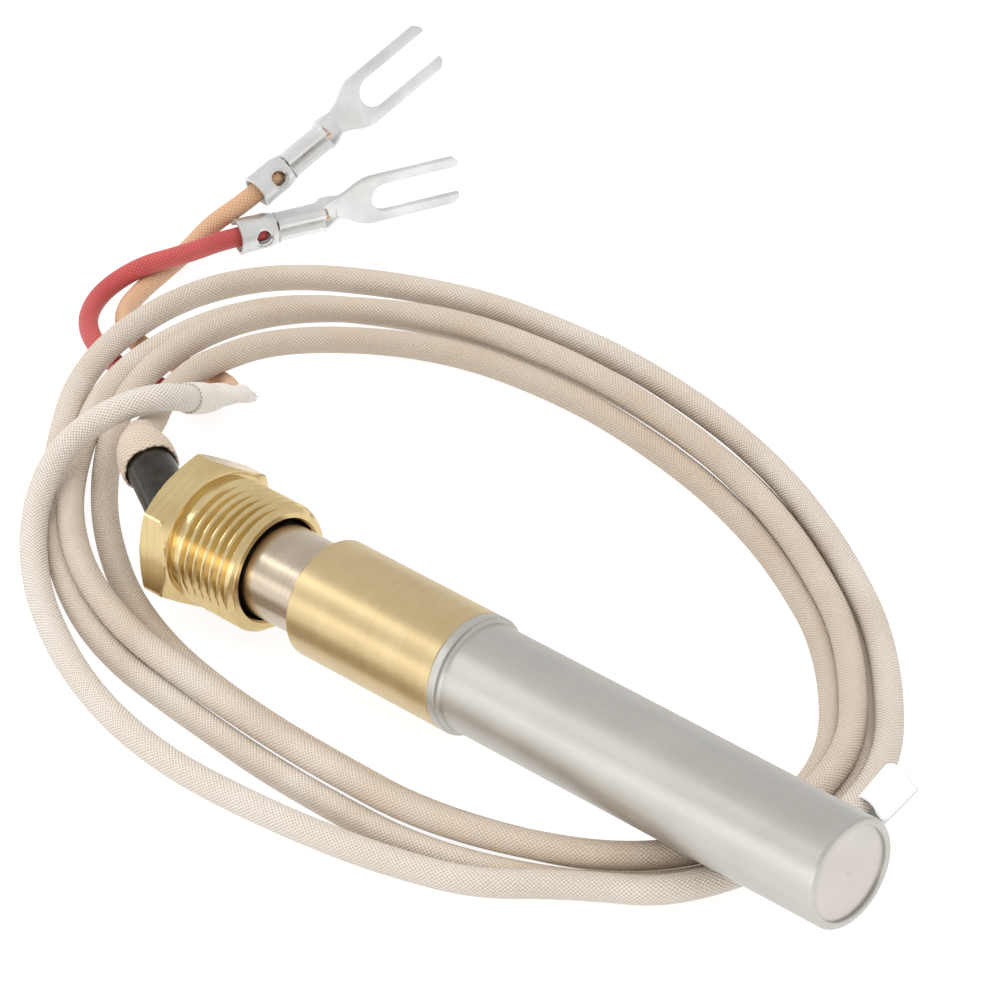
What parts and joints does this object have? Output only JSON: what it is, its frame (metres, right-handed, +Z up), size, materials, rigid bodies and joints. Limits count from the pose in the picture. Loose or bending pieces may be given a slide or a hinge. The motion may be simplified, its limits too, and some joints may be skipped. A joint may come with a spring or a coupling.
{
  "type": "thermocouple",
  "caption": "Screw-in millivolt thermopile with a steel hot tube, brass sleeve, loose threaded hex nut and a coiled braided lead ending in fork terminals.",
  "frame": {"origin": "On the surface that the part lies on, under the middle of the thermopile's own box, which leaves out the free lead and what is on it.", "axes": "+X runs along the thermopile towards its hot end, which is raised by 2 degrees, +Z is up, and +Y is the side that the coil of lead lies on."},
  "size_m": [0.1776, 0.1311, 0.0243],
  "materials": {
    "tube_steel": "satin drawn stainless steel",
    "disc_steel": "satin steel disc, slightly heat tinted",
    "sleeve_brass": "satin turned brass",
    "neck_steel": "satin nickel-grey plating with a warm tint",
    "nut_brass": "bright turned brass",
    "bush_steel": "plain steel",
    "dark_tubing": "glossy black tubing",
    "ceramic_fibre": "soft white fibre pad",
    "ceramic": "fired ceramic",
    "mica": "mica sheet",
    "alloy_positive": "bare alloy rod",
    "alloy_negative": "bare copper-nickel alloy rod",
    "weld": "welded link",
    "bare_wire": "tinned strands",
    "tin": "tin-plated, matte",
    "cement": "grey-white cement",
    "braid": "cream braided glass-fibre sleeving",
    "braid_tail": "paler, flattened braid with a cut end",
    "red_fibre": "red varnished fibre braid",
    "tan_fibre": "tan varnished fibre braid",
    "tag_paper": "plain white paper"
  },
  "bodies": {
    "thermopile": {"hot_tube": "tube_steel", "end_disc": "disc_steel", "brass_sleeve": "sleeve_brass", "neck_tube": "neck_steel", "lead_bush": "bush_steel", "lead_out_tube": "dark_tubing", "hot_end_pad": "ceramic_fibre", "mandrel": "ceramic", "mica_tube": "mica", "mica_wrap": "mica", "leg_spacers": "ceramic", "positive_legs": "alloy_positive", "negative_legs": "alloy_negative", "hot_junctions": "weld", "cold_junctions": "weld", "take_off_wires": "bare_wire", "lead_ferrules": "tin", "inner_red_lead": "red_fibre", "inner_tan_lead": "tan_fibre", "cement_plug": "cement", "braid_mouth": "braid", "cord_start": "braid", "cord_coil": "braid", "cord_outer_loop": "braid", "sleeve_tail": "braid_tail", "red_lead": "red_fibre", "tan_lead": "tan_fibre", "red_fork": "tin", "tan_fork": "tin", "red_strands": "bare_wire", "tan_strands": "bare_wire", "paper_tag": "tag_paper"},
    "nut": {"adapter_nut": "nut_brass"}
  },
  "joints": [
    {"name": "nut_spin", "type": "hinge", "parent": "thermopile", "child": "nut", "pos_m": [-0.04138, 0, 0.01118], "axis": [0.9994, 0, 0.0349], "continuous": true}
  ]
}
